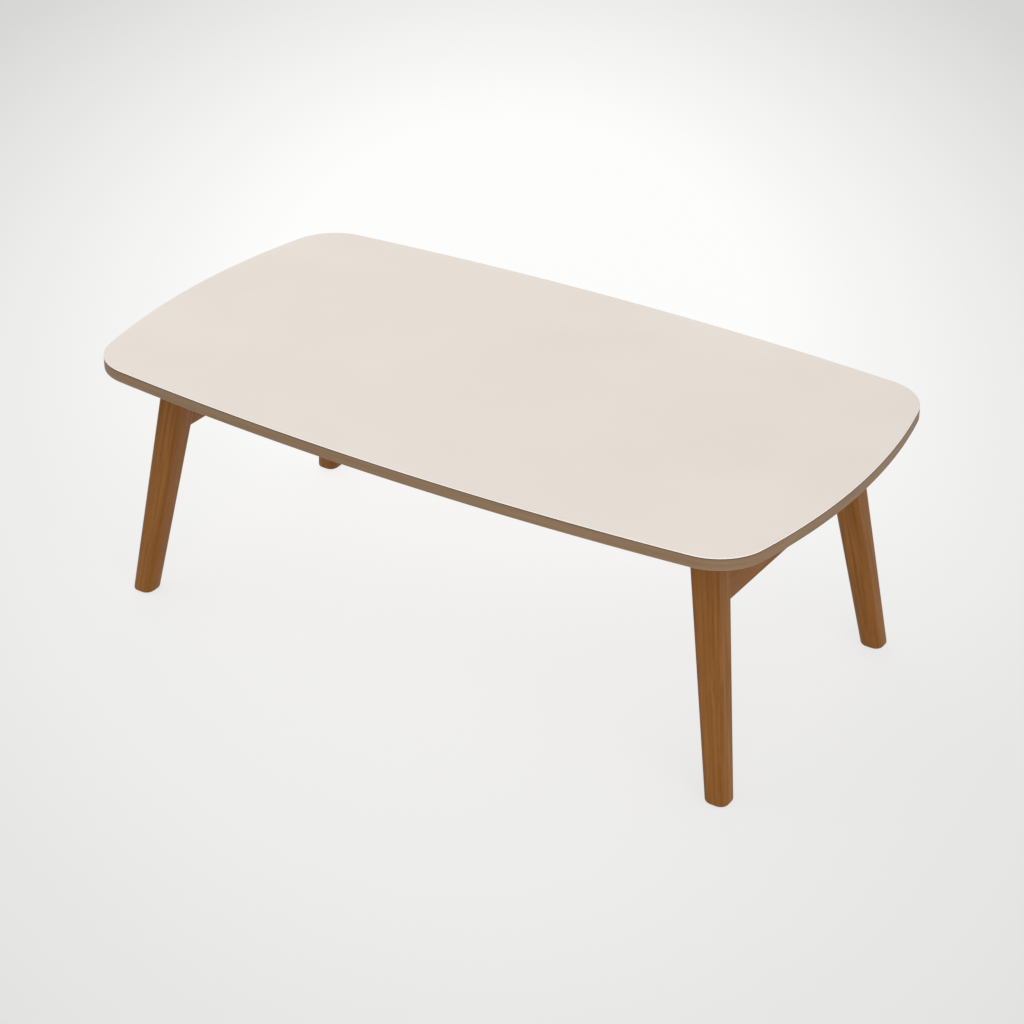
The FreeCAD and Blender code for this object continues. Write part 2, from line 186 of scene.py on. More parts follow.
def make_piece(name, points, faces, body, slot, node, grain=None, corner=None):
    """A smooth-shaded mesh in its slot's finish, which rides a body and stands for a CAD node."""
    mesh = bpy.data.meshes.new(name)
    mesh.from_pydata([tuple(point) for point in points], [], faces)
    if grain:
        attribute = mesh.attributes.new("grain", "FLOAT_VECTOR", "POINT")
        attribute.data.foreach_set("vector", [value for place in grain for value in place])
    if corner:
        attribute = mesh.attributes.new("corner", "FLOAT", "POINT")
        attribute.data.foreach_set("value", corner)
    mesh.shade_smooth()
    mesh.set_sharp_from_angle(angle=smooth_angle)
    mesh.materials.append(finishes[slot])
    piece = bpy.data.objects.new(name, mesh)
    scene.collection.objects.link(piece)
    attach(piece, body)
    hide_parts(node)
    return piece


def on_circle(angle, radius=1):
    return Vector((math.cos(angle), math.sin(angle))) * radius


def skin(ring_count, ring_size, caps=True):
    """Faces between rings of points that follow each other, with a face over each end."""
    faces = []
    for ring in range(ring_count - 1):
        low, high = ring * ring_size, (ring + 1) * ring_size
        for place in range(ring_size):
            beside = (place + 1) % ring_size
            faces.append((low + place, low + beside, high + beside, high + place))
    if caps:
        faces.append(tuple(reversed(range(ring_size))))
        faces.append(tuple(range((ring_count - 1) * ring_size, ring_count * ring_size)))
    return faces


def turned_over(points, faces, along_x, along_y):
    """The same mesh on another quarter of the table, its faces still outwards."""
    moved = [Vector((point[0] * along_x, point[1] * along_y, point[2])) for point in points]
    if along_x * along_y < 0:
        faces = [tuple(reversed(face)) for face in faces]
    return moved, faces


def rounded_square(half, radius, corner_steps, side_steps):
    """Points round a square with round corners, each with its nearness to a corner's middle."""
    places = []
    core = half - radius
    for quarter in range(4):
        start = quarter * math.pi / 2
        turn = Matrix.Rotation(start, 2)
        centre = turn @ Vector((core, core))
        for step in range(corner_steps + 1):
            share = step / corner_steps
            places.append((centre + on_circle(start + share * math.pi / 2, radius), 1 - abs(2 * share - 1)))
        corner_end = places[-1][0]
        ahead = turn @ Vector((-1, 0))
        for step in range(1, side_steps):
            places.append((corner_end + ahead * (2 * core * step / side_steps), 0))
    return places


# Outline of the top

def corner_arc_centre(long_centre, short_centre):
    """Centre of the corner arc, which touches a long and a short side from inside."""
    from_long = long_side_radius - corner_radius
    from_short = short_side_radius - corner_radius
    between = short_centre - long_centre
    along = (from_long ** 2 - from_short ** 2 + between.length_squared) / (2 * between.length)
    across = math.sqrt(from_long ** 2 - along ** 2)
    ahead = between.normalized()
    return long_centre + ahead * along + Vector((ahead.y, -ahead.x)) * across


def quarter_rim():
    """(point, outward direction) from the middle of the right end to the middle of the back."""
    long_centre = Vector((0, top_width / 2 - long_side_radius))
    short_centre = Vector((top_length / 2 - short_side_radius, 0))
    corner_centre = corner_arc_centre(long_centre, short_centre)
    to_short = corner_centre - short_centre
    to_long = corner_centre - long_centre
    short_angle = math.atan2(to_short.y, to_short.x)
    long_angle = math.atan2(to_long.y, to_long.x)
    arcs = (
        (short_centre, short_side_radius, 0, short_angle, short_side_steps),
        (corner_centre, corner_radius, short_angle, long_angle, corner_arc_steps),
        (long_centre, long_side_radius, long_angle, math.pi / 2, long_side_steps),
    )
    quarter = []
    for centre, radius, start, end, steps in arcs:
        for step in range(steps):
            out = on_circle(start + (end - start) * step / steps)
            quarter.append((centre + out * radius, out))
    quarter.append((Vector((0, top_width / 2)), Vector((0, 1))))
    return quarter


def rim_stations():
    """(point, outward direction, distance along the edge) all round the top."""
    quarter = quarter_rim()
    loop = []
    for along_x, along_y in ((1, 1), (-1, 1), (-1, -1), (1, -1)):
        signs = Vector((along_x, along_y))
        part = [(spot * signs, out * signs) for spot, out in quarter]
        if along_x * along_y < 0:
            part.reverse()
        loop.extend(part[:-1])
    stations = []
    travelled = 0
    for number, (spot, out) in enumerate(loop):
        if number:
            travelled += (spot - loop[number - 1][0]).length
        stations.append((spot, out, travelled))
    return stations


def rim_rings(stations, profile):
    """Rings of points round the top, one for each (inset, height) of the profile."""
    points = []
    for inset, height in profile:
        for spot, out, _ in stations:
            points.append((spot - out * inset).to_3d() + upwards * height)
    return points


def quarter_round(radius, height, rising):
    """(inset, height) points round an outer edge, from the side face to the level face.

    Rising is 1 for an upper edge and -1 for a lower one.
    """
    places = []
    for step in range(rim_round_steps + 1):
        angle = step / rim_round_steps * math.pi / 2
        level = radius * math.sin(angle)
        places.append((radius * (1 - math.cos(angle)), height - rising * (radius - level)))
    return places


def make_laminate(stations):
    """Sheet on the top with a softly rounded edge."""
    profile = [(laminate_lip, band_top), (0, band_top)]
    profile += quarter_round(laminate_round, table_height, 1)
    points = rim_rings(stations, profile)
    for share in laminate_ring_shares:
        points.extend((spot * share).to_3d() + upwards * table_height for spot, _, _ in stations)
    faces = skin(len(points) // len(stations), len(stations))
    make_piece("tabletop_laminate", points, faces, "tabletop", "top", "top_laminate")


def make_band(stations):
    """Edge strip, eased below and with a fine groove under the sheet."""
    profile = [(band_thickness, underside)]
    profile += reversed(quarter_round(band_lower_round, underside, -1))
    profile += quarter_round(band_upper_round, band_top, 1)
    profile.append((band_thickness, band_top))
    points = rim_rings(stations, profile)
    grain = [(travelled, inset, height) for inset, height in profile for _, _, travelled in stations]
    faces = skin(len(profile), len(stations), caps=False)
    last = (len(profile) - 1) * len(stations)
    for place in range(len(stations)):
        beside = (place + 1) % len(stations)
        faces.append((last + place, last + beside, beside, place))
    make_piece("edge_strip", points, faces, "tabletop", "edge", "edge_band", grain=grain)


# Wooden frames

def grain_at(board, across, through, along):
    """Place in the wood's pattern, well away from that of every other board."""
    return across + board, through + board * 2, along + board * 3


def leg_place(height):
    """Centre, thickness and edge radius of a leg at one height."""
    share = (underside - height) / underside
    size = leg_top_size + (leg_foot_size - leg_top_size) * share
    radius = leg_top_edge_radius + (leg_foot_edge_radius - leg_top_edge_radius) * share
    return leg_top.lerp(leg_foot, share), size, radius


def leg_rings():
    """(height, inset) of each ring up a leg, rounded at the foot and eased at the top."""
    low = pad_height + foot_round
    high = seat_height - leg_top_round
    rings = []
    for step in range(foot_round_steps + 1):
        angle = step / foot_round_steps * math.pi / 2
        rings.append((low - foot_round * math.cos(angle), foot_round * (1 - math.sin(angle))))
    for step in range(1, leg_spans):
        rings.append((low + (high - low) * step / leg_spans, 0))
    for step in range(leg_top_round_steps + 1):
        angle = step / leg_top_round_steps * math.pi / 2
        rings.append((high + leg_top_round * math.sin(angle), leg_top_round * (1 - math.cos(angle))))
    return rings


def make_leg(side, end, board):
    """Tapered leg, its corners rounder towards the foot."""
    points, grain, corner = [], [], []
    rings = leg_rings()
    for height, inset in rings:
        centre, size, radius = leg_place(height)
        section = rounded_square(size / 2 - inset, radius - inset, leg_corner_steps, leg_side_steps)
        for spot, nearness in section:
            points.append(Vector((centre.x + spot.x, centre.y + spot.y, height)))
            grain.append(grain_at(board, spot.x, spot.y, height))
            # Nearness to a corner's middle, where the wood gets painted shade.
            corner.append(nearness)
    faces = skin(len(rings), len(section))
    points, faces = turned_over(points, faces, right_and_left[side], back_and_front[end])
    node = side + "_" + end + "_leg"
    make_piece(node + "_wood", points, faces, side + "_leg_frame", "leg_wood", node,
               grain=grain, corner=corner)


def rail_top_down(across):
    """How far down the frame's plane the level top of the rail lies."""
    return (seat_gap - across * math.sin(lean)) / math.cos(lean)


def rail_section():
    """(across, down) round the rail's section, its lower edges rounded more than its upper ones."""
    corners = (
        (1, rail_drop, -1, rail_lower_round),
        (-1, rail_drop, -1, rail_lower_round),
        (-1, rail_top_down(-rail_face), 1, rail_upper_round),
        (1, rail_top_down(rail_face), 1, rail_upper_round),
    )
    section = []
    for quarter, (way, down, inwards, radius) in enumerate(corners):
        centre = Vector((way * (rail_face - radius), down + inwards * radius))
        for step in range(rail_round_steps + 1):
            section.append(centre + on_circle((quarter + step / rail_round_steps) * math.pi / 2, radius))
    return section


def filled_in(section):
    """A closed outline with more points along its long straight runs."""
    filled = []
    for place, spot in enumerate(section):
        following = section[(place + 1) % len(section)]
        pieces = 1 + int((following - spot).length // rail_longest_step)
        filled.extend(spot.lerp(following, step / pieces) for step in range(pieces))
    return filled


def frame_place(across, down):
    """World x and z of a point in the leaning frame."""
    x = leg_top.x - across * math.cos(lean) + down * math.sin(lean)
    z = underside - across * math.sin(lean) - down * math.cos(lean)
    return x, z


def make_rail(side, board):
    """Board between the legs, its ends cut to their faces and marked for painted shade in the seam there.
    """
    section = filled_in(rail_section())
    shares = [1 - 2 * step / rail_spans for step in range(rail_spans + 1)]
    shares.insert(1, rail_seam_share)
    shares.insert(-1, -rail_seam_share)
    points, grain, corner = [], [], []
    for share in shares:
        for across, down in section:
            x, z = frame_place(across, down)
            z = min(z, seat_height)
            centre, size, _ = leg_place(z)
            y = share * (centre.y - size / 2 - rail_seam)
            points.append(Vector((x, y, z)))
            grain.append(grain_at(board, across, down, y))
            # The end rings carry the mark for painted shade in the seam against the legs.
            corner.append(seam_shade_mark if abs(share) == 1 else 0)
    faces = skin(len(shares), len(section))
    points, faces = turned_over(points, faces, right_and_left[side], 1)
    node = side + "_rail"
    make_piece(node + "_wood", points, faces, side + "_leg_frame", "leg_wood", node,
               grain=grain, corner=corner)


def make_pad(side, end):
    """Felt pad under a foot, its edges soft and slightly bulging."""
    points = []
    for level in range(pad_levels + 1):
        angle = level / pad_levels * math.pi - math.pi / 2
        height = pad_height / 2 * (1 + math.sin(angle))
        inset = pad_round * (1 - math.cos(angle))
        section = rounded_square(pad_half - inset, pad_corner - inset, pad_corner_steps, pad_side_steps)
        for spot, _ in section:
            points.append(Vector((leg_foot.x + spot.x, leg_foot.y + spot.y, height)))
    faces = skin(pad_levels + 1, len(section))
    points, faces = turned_over(points, faces, right_and_left[side], back_and_front[end])
    node = side + "_" + end + "_foot_pad"
    piece = make_piece(node + "_felt", points, faces, side + "_leg_frame", "pad", node)


# Screws and rivets

def cross_outline(reach, half_width):
    """Points round a cross, the same number in each quarter, from the end of its +X arm."""
    inner = Vector((half_width, half_width))
    first_end = Vector((reach, half_width))
    next_end = Vector((half_width, reach))
    shares = [step / recess_arm_steps for step in range(recess_arm_steps)]
    one_quarter = [Vector((reach, 0))]
    one_quarter += [first_end.lerp(inner, share) for share in shares]
    one_quarter += [inner.lerp(next_end, share) for share in shares]
    one_quarter.append(next_end)
    outline = []
    for quarter in range(4):
        turn = Matrix.Rotation(quarter * math.pi / 2, 2)
        outline.extend(turn @ spot for spot in one_quarter)
    return outline


def headed_mesh(radius, length, head_radius, head_height, screw):
    """Domed head under the origin and shank above it, along +Z; a screw has a recess and a point.

    The rings of the dome widen from the outline of the recess, or from the middle of a rivet.
    """
    middle = cross_outline(recess_reach, recess_half_width)
    around = len(middle)
    circle = [on_circle(2 * math.pi * step / around) for step in range(around)]
    if screw:
        recess_floor = upwards * (recess_depth - head_height)
        points = [(spot * recess_floor_share).to_3d() + recess_floor for spot in middle]
        first_step = 0
        shank = ((radius, 0), (radius, length - radius), (radius * screw_point_share, length))
    else:
        middle = [Vector((0, 0))] * around
        points = []
        first_step = 1
        shank = ((radius, 0), (radius, length))
    for step in range(first_step, dome_steps + 1):
        for inside, out in zip(middle, circle):
            spot = inside.lerp(out * head_radius, step / dome_steps)
            share = spot.length / head_radius
            fall_share = dome_round_share * share ** 2 + (1 - dome_round_share) * share ** dome_edge_power
            points.append(spot.to_3d() - upwards * (head_height * (1 - fall_share)))
    for reach, height in shank:
        points.extend((out * reach).to_3d() + upwards * height for out in circle)
    return points, skin(len(points) // around, around)


def placed_mesh(mesh, seat, direction, along_x, along_y):
    """A headed mesh with its head's seat at a point and its shank along a direction."""
    points, faces = mesh
    turn = upwards.rotation_difference(direction).to_matrix()
    return turned_over([seat + turn @ point for point in points], faces, along_x, along_y)


def joined(meshes):
    """One list of points and one of faces from several meshes."""
    points, faces = [], []
    for some_points, some_faces in meshes:
        start = len(points)
        points.extend(some_points)
        faces.extend(tuple(start + place for place in face) for face in some_faces)
    return points, faces


def repeated(mesh, places, signs_x=(1, -1)):
    """The mesh at each (seat, direction) of the right-hand back corner and of those like it."""
    copies = []
    for along_x in signs_x:
        for along_y in (1, -1):
            for seat, direction in places:
                copies.append(placed_mesh(mesh, seat, direction, along_x, along_y))
    return joined(copies)


def make_board_screws():
    """Screws that hold the bracket plates to the board."""
    mesh = headed_mesh(screw_radius, board_screw_length, screw_head_radius, screw_head_height, screw=True)
    reach = plate_width / 2 - screw_edge_distance
    places = []
    for x in (plate_far_x + screw_edge_distance, plate_near_x - screw_edge_distance):
        for y in (hinge_y - reach, hinge_y + reach):
            places.append((Vector((x, y, underside - bracket_metal)), upwards))
    points, faces = repeated(mesh, places)
    make_piece("plate_screws", points, faces, "tabletop", "screws", "board_screws")


def make_arm_screws(side):
    """Screws that hold one side's bracket arms to the rail."""
    mesh = headed_mesh(screw_radius, rail_screw_length, screw_head_radius, screw_head_height, screw=True)
    outwards = Vector((math.cos(lean), 0, math.sin(lean)))
    places = []
    for down in arm_screw_drops:
        x, z = frame_place(rail_face + bracket_metal, down)
        places.append((Vector((x, hinge_y, z)), outwards))
    points, faces = repeated(mesh, places, signs_x=[right_and_left[side]])
    make_piece(side + "_rail_screws", points, faces, side + "_leg_frame", "screws", side + "_arm_screws")


def make_leaf_rivets():
    """Rivets that hold the leaf springs to the bracket bases."""
    mesh = headed_mesh(leaf_rivet_radius, spring_thickness + bracket_metal, leaf_rivet_head_radius,
                       leaf_rivet_head_height, screw=False)
    seat = Vector((plate_near_x, hinge_y, underside - bracket_metal - spring_thickness))
    points, faces = repeated(mesh, [(seat, upwards)])
    make_piece("spring_rivets", points, faces, "tabletop", "rivets", "leaf_rivets")


def make_pivot_rivets():
    """Rivets that the frames turn on, each from two headed halves."""
    half = headed_mesh(pivot_radius, clevis_width / 2, pivot_head_radius, pivot_head_height, screw=False)
    pivot_x, pivot_z = frame_place(pivot_across, pivot_down)
    places = []
    for way in (1, -1):
        seat = Vector((pivot_x, hinge_y - way * clevis_width / 2, pivot_z))
        places.append((seat, Vector((0, way, 0))))
    points, faces = repeated(half, places)
    make_piece("hinge_rivets", points, faces, "tabletop", "rivets", "pivot_rivets")


# Shader nodes

class Nodes:
    """The shader nodes of a material or of the world. Colours are linear red, green and blue."""

    # Places of a Mix node's two colour inputs and its colour output
    mix_colours = (6, 7)
    mix_result = 2

    def __init__(self, owner):
        owner.use_nodes = True
        self.tree = owner.node_tree

    def feed(self, socket, value):
        """Links a socket to another one, or sets it to a number, a vector or a colour."""
        if isinstance(value, bpy.types.NodeSocket):
            self.tree.links.new(value, socket)
        elif socket.type == "RGBA":
            socket.default_value = (*value, 1)
        else:
            socket.default_value = value

    def add(self, kind, values, **settings):
        """A new node with its options set and its inputs fed."""
        node = self.tree.nodes.new("ShaderNode" + kind)
        for key, value in settings.items():
            setattr(node, key, value)
        for place, value in values.items():
            self.feed(node.inputs[place], value)
        return node

    def place(self):
        """Position in the piece's own coordinates."""
        return self.add("TexCoord", {}).outputs["Object"]

    def height(self, vector):
        return self.add("SeparateXYZ", {0: vector}).outputs["Z"]

    def attribute(self, name, output="Vector"):
        return self.add("Attribute", {}, attribute_name=name).outputs[output]

    def scaled(self, vector, scale):
        return self.add("VectorMath", {0: vector, 1: scale}, operation="MULTIPLY").outputs["Vector"]

    def moved(self, vector, step):
        return self.add("VectorMath", {0: vector, 1: step}, operation="ADD").outputs["Vector"]

    def noise(self, vector, scale, detail, roughness=0.5, distortion=0):
        """Noise of one scale, or of a scale for each axis."""
        if isinstance(scale, tuple):
            vector = self.scaled(vector, scale)
            scale = 1
        values = {"Vector": vector, "Scale": scale, "Detail": detail, "Roughness": roughness,
                  "Distortion": distortion}
        return self.add("TexNoise", values).outputs[0]

    def levels(self, value, low, high, onto=(0, 1)):
        """Value between two levels, spread between two others and kept inside them."""
        values = {"Value": value, "From Min": low, "From Max": high, "To Min": onto[0], "To Max": onto[1]}
        return self.add("MapRange", values).outputs[0]

    def maths(self, operation, first, second):
        return self.add("Math", {0: first, 1: second}, operation=operation).outputs[0]

    def times(self, first, second):
        return self.maths("MULTIPLY", first, second)

    def mix(self, factor, first, second):
        """Colour that turns from the first to the second as the factor rises."""
        values = dict(zip(self.mix_colours, (first, second)))
        return self.add("Mix", {0: factor, **values}, data_type="RGBA").outputs[self.mix_result]

    def mix_shaders(self, factor, first, second):
        return self.add("MixShader", {0: factor, 1: first, 2: second}).outputs[0]

    def bump(self, height, strength, distance):
        values = {"Height": height, "Strength": strength, "Distance": distance}
        return self.add("Bump", values).outputs["Normal"]

    def seen(self):
        """1 for the rays that show the background, to the camera, in metal or through glass, else 0."""
        path = self.add("LightPath", {})
        shown = path.outputs["Is Camera Ray"]
        for ray in ("Is Glossy Ray", "Is Transmission Ray"):
            shown = self.maths("MAXIMUM", shown, path.outputs[ray])
        return shown


class Look(Nodes):
    """A material with its nodes."""

    def __init__(self, name):
        self.material = bpy.data.materials.new(name)
        super().__init__(self.material)
        self.surface = self.tree.nodes["Principled BSDF"]

    def finish(self, **values):
        """Sets the named inputs of the surface, with _ for a space."""
        for name, value in values.items():
            self.feed(self.surface.inputs[name.replace("_", " ")], value)
        return self.material


# Materials

def laminate_look():
    """Warm off-white satin sheet with a faint mottle, a fine texture and a painted highlight along its
    rounded edge.
    """
    dark, light = (0.782, 0.712, 0.640), (0.808, 0.740, 0.668)
    speck_colour, speck_share = (0.60, 0.52, 0.45), 0.05
    painted_rim_highlight_colour = (0.97, 0.94, 0.90)
    painted_rim_highlight_start, painted_rim_highlight_full = 0.00002, 0.0002
    look = Look("laminate")
    place = look.place()
    cloud = look.noise(place, scale=5, detail=3)
    speck = look.levels(look.noise(place, scale=900, detail=2), 0.35, 0.7)
    # Painted highlight: the rounded edge just under the top face is coloured near white.
    painted_rim_highlight = look.levels(look.height(place), table_height - painted_rim_highlight_start, table_height - painted_rim_highlight_full)
    base = look.mix(look.levels(cloud, 0.35, 0.65), dark, light)
    base = look.mix(look.times(speck, speck_share), base, speck_colour)
    base = look.mix(painted_rim_highlight, base, painted_rim_highlight_colour)
    smear = look.noise(place, scale=(9, 14.4, 9), detail=4, roughness=0.6)
    roughness = look.levels(smear, 0.3, 0.7, onto=(0.34, 0.44))
    texture = look.noise(place, scale=650, detail=2)
    normal = look.bump(texture, strength=0.12, distance=0.0001)
    return look.finish(Base_Color=base, Roughness=roughness, Normal=normal, Specular_IOR_Level=0.38)


def edge_look():
    """Taupe wood-grain strip, grain along the edge, painted shade in the groove under the sheet, painted
    highlight below.
    """
    dark, light = (0.205, 0.122, 0.062), (0.300, 0.188, 0.105)
    broad_colour = (0.330, 0.220, 0.135)
    painted_groove_shade_colour, painted_groove_shade_share = (0.072, 0.034, 0.014), 0.85
    painted_low_highlight_colour, painted_low_highlight_share = (0.46, 0.35, 0.26), 0.35
    painted_groove_shade_start, painted_groove_shade_full = 0.0015, 0.0006
    painted_low_highlight_start, painted_low_highlight_full = 0.0014, 0.0005
    look = Look("edge_strip")
    grain = look.attribute("grain")
    fine = look.noise(grain, scale=(14, 0, 1500), detail=4, roughness=0.65)
    broad = look.noise(grain, scale=(5, 0, 260), detail=3)
    height = look.height(grain)
    # Painted shade: a thin dark line in the groove just under the sheet.
    painted_groove_shade = look.levels(height, band_top - painted_groove_shade_start, band_top - painted_groove_shade_full)
    # Painted highlight: paler colour along the strip's eased lower edge.
    rubbed = look.levels(height, underside + painted_low_highlight_start, underside + painted_low_highlight_full)
    base = look.mix(look.levels(fine, 0.3, 0.7), dark, light)
    base = look.mix(look.levels(broad, 0.35, 0.65, onto=(0, 0.5)), base, broad_colour)
    base = look.mix(look.times(painted_groove_shade, painted_groove_shade_share), base, painted_groove_shade_colour)
    base = look.mix(look.times(rubbed, painted_low_highlight_share), base, painted_low_highlight_colour)
    roughness = look.levels(fine, 0.3, 0.7, onto=(0.56, 0.44))
    normal = look.bump(fine, strength=0.35, distance=0.00015)
    return look.finish(Base_Color=base, Roughness=roughness, Normal=normal, Specular_IOR_Level=0.25)


def wood_look():
    """Stained wood with straight streaks and fine pores, with painted shade on its corners and in the
    rails' end seams.
    """
    dark, light = (0.214, 0.077, 0.0115), (0.316, 0.130, 0.0285)
    band_colour = (0.254, 0.098, 0.018)
    pore_colour = (0.110, 0.038, 0.007)
    painted_corner_shade_colour = (0.130, 0.046, 0.008)
    painted_seam_shade_colour = (0.055, 0.020, 0.005)
    sway_reach = (0.004, 0.004, 0)
    streak_height_share = 0.6
    look = Look("stained_wood")
    grain = look.attribute("grain")
    sway = look.noise(grain, scale=(12, 12, 5), detail=2)
    bent = look.moved(grain, look.scaled(sway, sway_reach))
    streak = look.noise(bent, scale=(310, 310, 9), detail=3, roughness=0.55)
    band = look.noise(bent, scale=(95, 95, 3.5), detail=2)
    fine = look.noise(bent, scale=(1500, 1500, 42), detail=2, roughness=0.6)
    pore = look.levels(fine, 0.58, 0.70, onto=(0, 0.5))
    nearness = look.attribute("corner", "Fac")
    # Painted shade along the rounded corners of the legs.
    corner = look.levels(nearness, 0.1, 0.9, onto=(0, 0.22))
    # Painted shade in the seams where the rail's ends meet the legs.
    seam = look.levels(nearness, 1, seam_shade_mark, onto=(0, 0.75))
    base = look.mix(look.levels(streak, 0.32, 0.68), dark, light)
    base = look.mix(look.levels(band, 0.35, 0.7, onto=(0, 0.55)), base, band_colour)
    base = look.mix(pore, base, pore_colour)
    base = look.mix(corner, base, painted_corner_shade_colour)
    base = look.mix(seam, base, painted_seam_shade_colour)
    roughness = look.levels(streak, 0.3, 0.7, onto=(0.50, 0.38))
    height = look.maths("SUBTRACT", look.times(streak, streak_height_share), pore)
    normal = look.bump(height, strength=0.30, distance=0.00022)
    return look.finish(Base_Color=base, Roughness=roughness, Normal=normal, Specular_IOR_Level=0.16)


def board_look():
    """Pressed fibre board, sealed, with short pale fibres and darker flecks."""
    dark, light = (0.45, 0.33, 0.21), (0.50, 0.375, 0.25)
    fibre_colour = (0.62, 0.49, 0.34)
    fleck_colour, fleck_share = (0.20, 0.13, 0.08), 0.6
    look = Look("fibre_board")
    place = look.place()
    cloud = look.noise(place, scale=14, detail=4, roughness=0.6)
    fibre = look.noise(place, scale=(520, 1144, 520), detail=3, roughness=0.7, distortion=0.6)
    fleck = look.levels(look.noise(place, scale=950, detail=1), 0.66, 0.74)
    base = look.mix(look.levels(cloud, 0.3, 0.7), dark, light)
    base = look.mix(look.levels(fibre, 0.4, 0.7, onto=(0, 0.5)), base, fibre_colour)
    base = look.mix(look.times(fleck, fleck_share), base, fleck_colour)
    roughness = look.levels(cloud, 0.3, 0.7, onto=(0.62, 0.74))
    normal = look.bump(fibre, strength=0.25, distance=0.0002)
    return look.finish(Base_Color=base, Roughness=roughness, Normal=normal)


def paint_look():
    """Black paint on pressed steel, a little dusty and scuffed."""
    dark, light = (0.022, 0.022, 0.024), (0.045, 0.045, 0.047)
    scuff_colour, scuff_share = (0.16, 0.16, 0.16), 0.5
    look = Look("black_paint")
    place = look.place()
    cloud = look.noise(place, scale=60, detail=4, roughness=0.6)
    scuff = look.levels(look.noise(place, scale=(260, 780, 260), detail=5, roughness=0.7), 0.66, 0.72)
    base = look.mix(look.levels(cloud, 0.35, 0.65), dark, light)
    base = look.mix(look.times(scuff, scuff_share), base, scuff_colour)
    roughness = look.levels(cloud, 0.3, 0.7, onto=(0.34, 0.50))
    texture = look.noise(place, scale=1100, detail=2)
    normal = look.bump(texture, strength=0.25, distance=0.0001)
    return look.finish(Base_Color=base, Roughness=roughness, Normal=normal, Coat_Weight=0.1)


def worn_look():
    """Black paint rubbed through to the steel in places, for the edges of pressed steel."""
    paint_colour, steel_colour = (0.034, 0.034, 0.036), (0.28, 0.275, 0.27)
    metal_share = 0.8
    look = Look("worn_paint")
    rubbed = look.levels(look.noise(look.place(), scale=130, detail=6, roughness=0.6), 0.46, 0.66)
    base = look.mix(rubbed, paint_colour, steel_colour)
    roughness = look.levels(rubbed, 0, 1, onto=(0.46, 0.34))
    return look.finish(Base_Color=base, Metallic=look.times(rubbed, metal_share), Roughness=roughness)


def steel_look(name, dark, light, brushing, roughness_range):
    """Bright metal with a directional finish and slight tarnish."""
    look = Look(name)
    place = look.place()
    brush = look.noise(place, scale=brushing, detail=3, roughness=0.6)
    tarnish = look.noise(place, scale=120, detail=4, roughness=0.6)
    base = look.mix(look.levels(tarnish, 0.35, 0.65), dark, light)
    roughness = look.levels(brush, 0.3, 0.7, onto=roughness_range)
    normal = look.bump(brush, strength=0.2, distance=0.00008)
    return look.finish(Base_Color=base, Metallic=1.0, Roughness=roughness, Normal=normal)


def spring_steel_look():
    return steel_look("spring_steel", dark=(0.30, 0.29, 0.29), light=(0.46, 0.46, 0.48),
                      brushing=(40, 2600, 40), roughness_range=(0.24, 0.40))


def zinc_look():
    return steel_look("zinc_plate", dark=(0.50, 0.50, 0.50), light=(0.66, 0.66, 0.64),
                      brushing=(700, 700, 700), roughness_range=(0.26, 0.42))


def felt_look():
    """Brown felt with matted fibres."""
    dark, light = (0.085, 0.052, 0.034), (0.205, 0.140, 0.098)
    look = Look("felt")
    place = look.place()
    mat = look.noise(place, scale=1400, detail=4, roughness=0.7, distortion=1.2)
    tuft = look.noise(place, scale=380, detail=3, roughness=0.6)
    base = look.mix(look.levels(mat, 0.3, 0.7), dark, light)
    normal = look.bump(look.maths("ADD", mat, tuft), strength=0.8, distance=0.0004)
    return look.finish(Base_Color=base, Roughness=0.95, Normal=normal, Sheen_Weight=0.35,
                       Sheen_Roughness=0.5)


def floor_look():
    """Pale floor with a painted pool of light, white round the table and grey further off, and clear from
    below.

    The camera sees most of it unshaded, so that the background stays as pale as written.
    """
    look = Look("floor")
    from_middle = look.moved(look.place(), -patch_middle)
    turned = look.add("Mapping", {"Vector": from_middle, "Rotation": (0, 0, -patch_turn)}).outputs[0]
    in_patch = look.scaled(turned, (1 / patch_radii[0], 1 / patch_radii[1], 0))
    distance = look.add("VectorMath", {0: in_patch}, operation="LENGTH").outputs["Value"]
    # Painted light: the colour fades from the white pool to grey further off.
    base = look.mix(look.levels(distance, *patch_fade_shares), painted_pool_colour, painted_dim_floor_colour)
    look.finish(Base_Color=base, Roughness=0.9, Specular_IOR_Level=0.1)
    glow = look.add("Emission", {"Color": base, "Strength": 1.0})
    glow_share = look.times(look.seen(), floor_glow_share)
    from_above = look.mix_shaders(glow_share, look.surface.outputs[0], glow.outputs[0])
    below = look.add("NewGeometry", {}).outputs["Backfacing"]
    clear = look.add("BsdfTransparent", {})
    shown = look.mix_shaders(below, from_above, clear.outputs[0])
    look.feed(look.tree.nodes["Material Output"].inputs["Surface"], shown)
    return look.material


# CAD nodes that show themselves

def finish_node(name, *materials):
    """Gives a CAD node its materials."""
    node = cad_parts[name]
    node.data.materials.clear()
    for material in materials:
        node.data.materials.append(material)
    return node


def soften(name, material, edge_material):
    """Eases the edges of a pressed part; the eased edges get the second material."""
    node = finish_node(name, material, edge_material)
    weld = node.modifiers.new("weld", "WELD")
    weld.merge_threshold = weld_reach
    bevel = node.modifiers.new("bevel", "BEVEL")
    bevel.width = edge_softening
    bevel.segments = softening_segments
    bevel.limit_method = "ANGLE"
    bevel.angle_limit = softened_angle
    bevel.harden_normals = True
    bevel.material = len(node.data.materials) - 1


# Assembly

def dress_top():
    """Sheet, edge strip, board, and the screws and rivets that stay with the top."""
    stations = rim_stations()
    make_laminate(stations)
    make_band(stations)
    make_board_screws()
    make_leaf_rivets()
    make_pivot_rivets()
    finish_node("core_board", finishes["core"])


